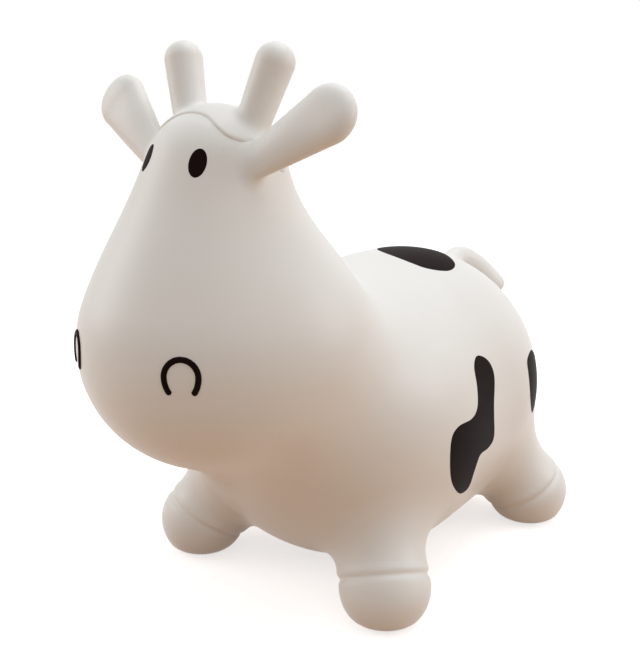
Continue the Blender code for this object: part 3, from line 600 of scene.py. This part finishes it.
def make_body():
    """Torso and head as one sheet: rings from the crown to the seam plane, and on to the valve's hole."""
    neck_way = BACKWARD * -math.sin(NECK_LEAN) + UP * math.cos(NECK_LEAN)
    neck_face = BACKWARD * math.cos(NECK_LEAN) + UP * math.sin(NECK_LEAN)
    ways = round_ways(np.cross(neck_face, -neck_way), neck_face, BODY_SIDES)
    middles = np.repeat(NECK_SEAM[None], BODY_SIDES, axis=0)
    seam = middles + ways * cast(body, middles, ways, BODY_REACH)[:, None]
    top = leaves_skin(CROWN_CENTRE, UP)
    tops = np.repeat(top[None], BODY_SIDES, axis=0)
    head = span(body, HEAD_FOCUS, tops + ways * NUDGE, seam, np.linspace(0, 1, HEAD_RINGS), BODY_REACH)
    hole, hole_way = valve_place()
    rim = hole + round_ways(ACROSS, np.cross(hole_way, ACROSS), BODY_SIDES) * VALVE_HOLE
    torso = span(body, TORSO_FOCUS, seam, rim, np.linspace(0, 1, TORSO_RINGS), BODY_REACH)
    skin = lay_sheet("body_skin", np.vstack((head[1:], torso[1:])), IVORY, "ivory_vinyl", start_pole=top)
    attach(skin, "body")
    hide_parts("torso_skin", "head_skin")


def make_limb(name, rings, focus, pole, body_name, nodes, start, end):
    """A limb's closed sheet in place of its nodes, with its place baked into the mesh."""
    piece = lay_sheet(name, rings, IVORY, "ivory_vinyl", start_pole=focus, end_pole=pole)
    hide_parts(*nodes)
    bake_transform(piece)


def frame_sole(name):
    """The middle of a hoof's sole, as the frame's mount gives it."""
    mount = next(m for m in frame["record"]["mounts"] if m["name"] == name + "_sole")
    return np.array(mount["pos_m"], float)


def make_leg(name, side):
    """A leg that swells out of the belly, its roll and groove, and the hoof pressed flat on the floor."""
    sole = frame_sole(name)
    centre = sole + UP * (HOOF_RADIUS - HOOF_PRESSED)
    hip = centre + (-side * HIP_INSET, -math.copysign(HIP_INSET, sole[1]), HIP_RISE)
    leg = Limb(hip, centre, (HIP_RADIUS, HOOF_RADIUS), -BACKWARD, LEG_BLEND)
    leg.crease = leg.length - CREASE_FROM_HOOF

    def hoof_skin(points):
        return -melt(-leg.skin(points), points[..., 2], SOLE_ROUNDING)

    steps = np.linspace(-CREASE_BAND, CREASE_BAND / 2, BAND_RINGS)
    band = [leg.ring(leg.crease + step, LIMB_SIDES) for step in steps]
    root, focus = root_rings(leg, band[0])
    flat = round_ways(leg.side, leg.face, LIMB_SIDES) * (1, 1, 0)
    flat_radius = math.sqrt((HOOF_RADIUS - SOLE_ROUNDING) ** 2 - (HOOF_RADIUS - HOOF_PRESSED) ** 2)
    below = centre * (1, 1, 0)
    rim = below + unit(flat) * flat_radius
    foot = span(hoof_skin, centre, band[-1], rim, np.linspace(0, 1, TIP_RINGS), leg.reach)
    rings = np.vstack((root[:-1], band, foot[1:]))
    start = leg.at(LEG_BEND_START)
    nodes = (name + "_leg", name + "_hoof")
    end = leg.at(leg.length - SEAM_FROM_HOOF)
    make_limb(name + "_skin", rings, focus, below, name + "_hoof", nodes, start, end)


def make_tip(limb, seam_ring):
    """Rings from the seam to the end of a limb, and the pole that closes them."""
    pole = limb.end + limb.way * cast(limb.skin, limb.end[None], limb.way[None], limb.reach)[0]
    near = np.repeat(pole[None], LIMB_SIDES, axis=0)
    shares = np.linspace(0, 1, TIP_RINGS + 1)[:-1]
    return span(limb.skin, limb.end, seam_ring, near, shares, limb.reach), pole


def make_ear(name, side):
    """A flattened cone that widens to a paddle, with a shallow dish in front."""
    start = CROWN_CENTRE + on_side(EAR_PLACE_SHARE, side) * CROWN_RADIUS
    way = unit(on_side(EAR_WAY, side))
    end = leaves_skin(start, way) + way * EAR_LENGTH
    radii = (EAR_NECK_RADIUS, EAR_PADDLE_RADIUS)
    ear = Limb(start, end, radii, np.array(EAR_FACE), EAR_BLEND, raised, EAR_FLATNESS_SHARE)
    ear.dish = EAR_DISH_DEPTH
    seam = ear.exit + EAR_SEAM_RISE
    ring = ear.ring(seam, LIMB_SIDES)
    root, focus = root_rings(ear, ring)
    tip, pole = make_tip(ear, ring)
    rings = np.vstack((root, tip[1:]))
    bend = bend_between(ear, root[0], seam, EAR_SEAM_RISE)
    make_limb(name + "_skin", rings, focus, pole, name, (name + "_root", name), *bend)


def make_horn(name, side):
    """A round cone, a little wider at its tip, that stands on the forelock."""
    start = CROWN_CENTRE + on_side(HORN_PLACE_SHARE, side) * CROWN_RADIUS
    way = unit(on_side(HORN_WAY, side))
    end = leaves_skin(start, way) + way * HORN_LENGTH
    horn = Limb(start, end, (HORN_BASE_RADIUS, HORN_TIP_RADIUS), -BACKWARD, HORN_BLEND, raised)
    seam = horn.exit + HORN_SEAM_RISE
    ring = horn.ring(seam, LIMB_SIDES)
    root, focus = root_rings(horn, ring)
    tip, pole = make_tip(horn, ring)
    rings = np.vstack((root, tip[1:]))
    bend = bend_between(horn, root[0], seam, HORN_SEAM_RISE)
    make_limb(name + "_skin", rings, focus, pole, name, (name + "_root", name), *bend)


def make_tail():
    """A stub that swells out of the rump, and a hook: a round profile carried along a cubic curve."""
    start = RUMP_CENTRE + np.array(TAIL_PLACE_SHARE) * RUMP_SIZES / 2
    way = unit(TAIL_WAY)
    end = leaves_skin(start, way) + way * 2 * TAIL_SEAM_RISE
    stub = Limb(start, end, (TAIL_RADIUS, TAIL_RADIUS), UP, TAIL_BLEND)
    seam = stub.exit + TAIL_SEAM_RISE
    ring = stub.ring(seam, LIMB_SIDES)
    root, focus = root_rings(stub, ring)
    first = stub.at(seam)
    rise = stub.way * TAIL_RUN * TAIL_RISE_SHARE
    peak = first + np.array(TAIL_PEAK_SHARE) * (TAIL_LEAN, TAIL_RUN, TAIL_DROP)
    last = first + (TAIL_LEAN, TAIL_RUN, -TAIL_DROP)
    t = np.linspace(0, 1, TIP_RINGS)[:, None]
    line = (1 - t) ** 3 * first + 3 * t * (1 - t) ** 2 * (first + rise)
    line = line + 3 * t ** 2 * (1 - t) * peak + t ** 3 * last
    ways = unit(np.gradient(line, axis=0))
    ways[0] = stub.way
    sides = unit(stub.side - ways * (ways @ stub.side)[:, None])
    faces = np.cross(ways, sides)
    turns = np.arange(LIMB_SIDES) * (2 * math.pi / LIMB_SIDES)
    around = np.cos(turns)[:, None] * sides[:, None] + np.sin(turns)[:, None] * faces[:, None]
    radii = TAIL_RADIUS + (TAIL_TIP_RADIUS - TAIL_RADIUS) * t
    tube = line[:, None] + around * radii[:, None]
    lifts = TAIL_DOME_LIFTS[:, None, None]
    dome = line[-1] + (around[-1] * np.cos(lifts) + ways[-1] * np.sin(lifts)) * TAIL_TIP_RADIUS
    rings = np.vstack((root, tube[1:], dome))
    pole = line[-1] + ways[-1] * TAIL_TIP_RADIUS
    bend = bend_between(stub, root[0], seam, TAIL_SEAM_RISE)
    make_limb("tail_skin", rings, focus, pole, "tail", ("tail_root", "tail"), *bend)


# Layers on the skin


def lay_layer(name, outline, heart, origin, axes, thickness, lip, material, slot, nodes):
    """A thin layer inside an outline, whose rings shrink to a heart and are cast onto the skin and raised.

    It has its full thickness but for the lip, a quarter round that ends under the skin.
    """
    across, up, way = axes
    edge = closed_curve(outline, OUTLINE_POINTS)
    heart = np.array(heart, float)
    widths = size_of(edge - heart)
    outer = 1 - lip / widths.min()
    inner_shares = np.linspace(HEART_SHARE, outer, OUTLINE_RINGS)
    shares = np.concatenate((inner_shares, outer + (1 - outer) * LIP_SHARES))
    plan = heart + (edge - heart) * shares[:, None, None]
    starts = origin + plan[..., :1] * across + plan[..., 1:] * up
    ways = np.broadcast_to(way, starts.shape)
    foot = starts + ways * cast(body, starts, ways, BODY_REACH)[..., None]
    height = thickness * lip_height((1 - shares[:, None]) * widths, lip)
    height[-1] = -EDGE_TUCK
    rings = foot + out_of(body, foot) * height[..., None]
    middle = rings[0].mean(0)
    piece = lay_sheet(name, rings[::-1], material, slot, end_pole=middle)
    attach(piece, "body")
    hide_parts(*nodes)


def sized(shares, sizes, mirror=1):
    """An outline in metres from its shares of two sizes, mirrored for the right side."""
    return [(mirror * across * sizes[0], above * sizes[1]) for across, above in shares]


def looking(turn, lift, side):
    """The way of a look that is turned to one side of straight ahead and lifted."""
    level_way = ACROSS * side * math.sin(turn) - BACKWARD * math.cos(turn)
    return level_way * math.cos(lift) + UP * math.sin(lift)


def facing(way):
    """The ways across and up as seen along a look, and the look."""
    across = unit(np.cross(UP, way))
    return across, np.cross(way, across), way


def paint(name, outline, heart, origin, axes):
    """A film of black paint in place of the node of this name."""
    lay_layer(
        name + "_paint", outline, heart, origin, axes,
        PAINT_THICKNESS, PAINT_LIP, BLACK, "black_paint", (name,),
    )


def make_patches():
    """Two patches on each side, cast sideways onto the skin, and the saddle patch, cast upwards."""
    spots = (
        ("flank_patch", FLANK_OUTLINE_SHARES, FLANK_SIZES, FLANK_PLACE, FLANK_HEART_SHARE),
        ("hip_patch", HIP_OUTLINE_SHARES, HIP_SIZES, HIP_PLACE, (0, 0)),
    )
    for side, sign in SIDES.items():
        axes = (sign * BACKWARD, UP, sign * ACROSS)
        for spot, shares, sizes, place, heart in spots:
            outline = sized(shares, sizes, sign)[::sign]
            heart = sized((heart,), sizes, sign)[0]
            paint(side + "_" + spot, outline, heart, np.array(place), axes)
    outline = sized(SADDLE_OUTLINE_SHARES, SADDLE_SIZES)
    paint("saddle_patch", outline, (0, 0), np.array(SADDLE_PLACE), (ACROSS, BACKWARD, UP))


def make_eyes():
    """Leaning ovals, cast onto the head along the look of each eye."""
    turns = np.arange(OVAL_POINTS) * (2 * math.pi / OVAL_POINTS)
    outline = np.stack((EYE_WIDTH / 2 * np.cos(turns), EYE_HEIGHT / 2 * np.sin(turns)), axis=-1)
    for side, sign in SIDES.items():
        level, upright, way = facing(looking(EYE_TURN, EYE_LIFT, sign))
        tall = upright * math.cos(EYE_SLANT) + level * sign * math.sin(EYE_SLANT)
        paint(side + "_eye", outline, (0, 0), CROWN_CENTRE, (np.cross(tall, way), tall, way))


def make_forelock():
    """A raised layer, cast upwards onto the crown."""
    lay_layer(
        "forelock_skin", FORELOCK_OUTLINE, (0, 0), FORELOCK_ORIGIN, (ACROSS, BACKWARD, UP),
        FORELOCK_THICKNESS, FORELOCK_LIP, IVORY, "ivory_vinyl", ("forelock",),
    )


def make_nostrils():
    """A half-sunk oval bead carried along a horseshoe, its ends drawn in to round tips."""
    half_mouth = NOSTRIL_MOUTH / 2
    turns = np.linspace(half_mouth - math.pi / 2, 3 * math.pi / 2 - half_mouth, NOSTRIL_STEPS)
    heights = np.where(np.sin(turns) < 0, NOSTRIL_LOWER_SHARE, 1) * np.sin(turns)
    halves = (np.array((NOSTRIL_WIDTH, NOSTRIL_HEIGHT)) - NOSTRIL_LINE) / 2
    plan = np.stack((np.cos(turns), heights), axis=-1) * halves
    for side, sign in SIDES.items():
        across, up, way = facing(looking(NOSTRIL_TURN, NOSTRIL_LIFT, sign))
        starts = CHEEK_CENTRE + plan[:, :1] * across + plan[:, 1:] * up
        ways = np.broadcast_to(way, starts.shape)
        line = starts + ways * cast(body, starts, ways, BODY_REACH)[:, None]
        out = out_of(body, line)
        along = unit(np.gradient(line, axis=0))
        wide = np.cross(out, along)
        run = np.concatenate(((0,), np.cumsum(size_of(np.diff(line, axis=0)))))
        inset = np.clip(np.minimum(run, run[-1] - run) / (NOSTRIL_LINE / 2), 0, 1)
        swell = np.sqrt(np.clip(1 - (1 - inset) ** 2, 0, 1))[:, None, None]
        round_turns = np.arange(NOSTRIL_SIDES) * (2 * math.pi / NOSTRIL_SIDES)
        profile = (
            np.cos(round_turns)[:, None] * wide[:, None] * NOSTRIL_LINE / 2
            + np.sin(round_turns)[:, None] * out[:, None] * NOSTRIL_RELIEF
        )
        rings = line[:, None] + profile * swell
        poles = {"start_pole": line[0], "end_pole": line[-1]}
        piece = lay_sheet(side + "_nostril_bead", rings[1:-1], BLACK, "black_paint", **poles)
        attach(piece, "body")
        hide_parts(side + "_nostril")


# Valve


def turned(name, profile, material, slot, body_name, node, start_pole=None, end_pole=None):
    """A profile of radius and height turned about the valve's line, with poles at the heights given."""
    origin, way = valve_place()
    radii, heights = np.array(profile, float).T
    ways = round_ways(ACROSS, np.cross(way, ACROSS), VALVE_SIDES)
    rings = origin + ways[None] * radii[:, None, None] + way * heights[:, None, None]
    poles = [None if height is None else origin + way * height for height in (start_pole, end_pole)]
    piece = lay_sheet(name, rings, material, slot, *poles)
    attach(piece, body_name)
    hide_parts(node)


def make_valve():
    """The bush's collar and barrel, and the plug's cap and stem, with their rims rounded over."""
    edge = VALVE_ROUNDING
    middle = VALVE_ROUNDING * ROUNDING_MIDDLE_SHARE
    bush = (
        (BORE_RADIUS, -BARREL_DEPTH), (BORE_RADIUS, -RECESS_DEPTH), (RECESS_RADIUS, -RECESS_DEPTH),
        (RECESS_RADIUS, -edge), (RECESS_RADIUS + middle, -middle), (RECESS_RADIUS + edge, 0),
        (COLLAR_RADIUS - edge, 0), (COLLAR_RADIUS - middle, -middle), (COLLAR_RADIUS, -edge),
        (COLLAR_RADIUS, -2 * RECESS_DEPTH), (BARREL_RADIUS, -2 * RECESS_DEPTH),
        (BARREL_RADIUS, -BARREL_DEPTH), (BORE_RADIUS, -BARREL_DEPTH),
    )
    turned("valve_bush_rim", bush, BUSH_WHITE, "valve_white", "body", "valve_bush")
    head = RECESS_RADIUS - PLUG_CLEARANCE
    stem = BORE_RADIUS - PLUG_CLEARANCE
    floor = PLUG_CLEARANCE - RECESS_DEPTH
    plug = (
        (stem * PLUG_NOSE_SHARE, -BARREL_DEPTH), (stem, PLUG_NOSE - BARREL_DEPTH), (stem, floor),
        (head, floor), (head, -edge), (head - middle, -middle), (head - edge, 0),
    )
    turned("valve_plug_cap", plug, PLUG_GREY, "plug_grey", "valve_plug", "valve_plug", -BARREL_DEPTH, 0)


# Studio


CAMERA_PLACE = Vector((0.56583796, -0.75087309, 0.51))
CAMERA_WAY = Vector((-0.58490284, 0.75861964, -0.28702771))
CAMERA_LENS = 55.47
FILM_SIZE = 36
FLOOR_HALF = 6
SKY_LIGHT = 0.52
FLOOR_GLOW = 0.64
LAMP_TARGET = Vector((0, 0, 0.2))
LAMPS = {
    "overhead": {"place": (0.1, 0.5, 1.9), "size": 1.6, "power": 14, "colour": (0.93, 0.96, 1.0)},
    "rear_left": {"place": (1.7, 1.1, 0.9), "size": 1.2, "power": 9, "colour": (0.96, 0.98, 1.0)},
    "front_right": {"place": (-1.7, -0.9, 0.9), "size": 1.2, "power": 9, "colour": (0.96, 0.98, 1.0)},
}


def make_camera():
    """The view that the photo gives, with the whole cow in it."""
    camera = bpy.data.objects.new("camera", bpy.data.cameras.new("camera"))
    camera.location = CAMERA_PLACE
    camera.rotation_euler = CAMERA_WAY.to_track_quat("-Z", "Y").to_euler()
    camera.data.lens = CAMERA_LENS
    camera.data.sensor_width = FILM_SIZE
    bpy.context.scene.collection.objects.link(camera)
    bpy.context.scene.camera = camera


def seen_directly(tree):
    """1 for what is seen straight, mirrored or through something clear, and 0 for soft bounced light."""
    path = tree.nodes.new("ShaderNodeLightPath")
    mirrored = tree.nodes.new("ShaderNodeMath")
    mirrored.operation = "MAXIMUM"
    tree.links.new(path.outputs["Is Glossy Ray"], mirrored.inputs[0])
    tree.links.new(path.outputs["Is Transmission Ray"], mirrored.inputs[1])
    seen = tree.nodes.new("ShaderNodeMath")
    seen.operation = "MAXIMUM"
    tree.links.new(path.outputs["Is Camera Ray"], seen.inputs[0])
    tree.links.new(mirrored.outputs["Value"], seen.inputs[1])
    return seen


def ease(tree, factor, low, high):
    """A value that is low where the factor is 0 and high where it is 1."""
    spread = tree.nodes.new("ShaderNodeMapRange")
    spread.inputs["To Min"].default_value = low
    spread.inputs["To Max"].default_value = high
    tree.links.new(factor.outputs["Value"], spread.inputs["Value"])
    return spread


def make_floor():
    """White to the camera and in reflections but for the cow's shadow, warm tan to soft bounced light."""
    mesh = bpy.data.meshes.new("floor")
    corners = [(x * FLOOR_HALF, y * FLOOR_HALF, 0) for x, y in ((-1, -1), (1, -1), (1, 1), (-1, 1))]
    mesh.from_pydata(corners, [], [(0, 1, 2, 3)])
    floor = bpy.data.objects.new("floor", mesh)
    bpy.context.scene.collection.objects.link(floor)
    material, tree, shader = new_material("pale_floor")
    path = tree.nodes.new("ShaderNodeLightPath")
    mix = tree.nodes.new("ShaderNodeMix")
    mix.data_type = "RGBA"
    mix.inputs["A"].default_value = (0.80, 0.80, 0.80, 1)
    mix.inputs["B"].default_value = (0.52, 0.28, 0.12, 1)
    tree.links.new(path.outputs["Is Diffuse Ray"], mix.inputs["Factor"])
    tree.links.new(mix.outputs["Result"], shader.inputs["Base Color"])
    shader.inputs["Roughness"].default_value = 0.9
    shader.inputs["Specular IOR Level"].default_value = 0
    shader.inputs["Emission Color"].default_value = (1, 1, 1, 1)
    glow = ease(tree, seen_directly(tree), 0, FLOOR_GLOW)
    tree.links.new(glow.outputs["Result"], shader.inputs["Emission Strength"])
    mesh.materials.append(material)


def make_lamp(name, place, size, power, colour):
    """A square lamp that faces the cow."""
    lamp = bpy.data.lights.new(name, "AREA")
    lamp.size = size
    lamp.energy = power
    lamp.color = colour
    holder = bpy.data.objects.new(name, lamp)
    holder.location = place
    holder.rotation_euler = (LAMP_TARGET - Vector(place)).to_track_quat("-Z", "Y").to_euler()
    bpy.context.scene.collection.objects.link(holder)


def make_light():
    """An even sky that is white where it is seen, and three soft lamps."""
    world = bpy.data.worlds.new("studio")
    world.use_nodes = True
    background = world.node_tree.nodes["Background"]
    background.inputs["Color"].default_value = (1, 1, 1, 1)
    strength = ease(world.node_tree, seen_directly(world.node_tree), SKY_LIGHT, 1)
    world.node_tree.links.new(strength.outputs["Result"], background.inputs["Strength"])
    bpy.context.scene.world = world
    for name, lamp in LAMPS.items():
        make_lamp(name, **lamp)
    bpy.context.scene.view_settings.view_transform = "Standard"


make_camera()
make_body()
for side, sign in SIDES.items():
    make_leg("front_" + side, sign)
    make_leg("rear_" + side, sign)
    make_ear(side + "_ear", sign)
    make_horn(side + "_horn", sign)
make_tail()
make_forelock()
make_eyes()
make_nostrils()
make_patches()
make_valve()
make_floor()
make_light()
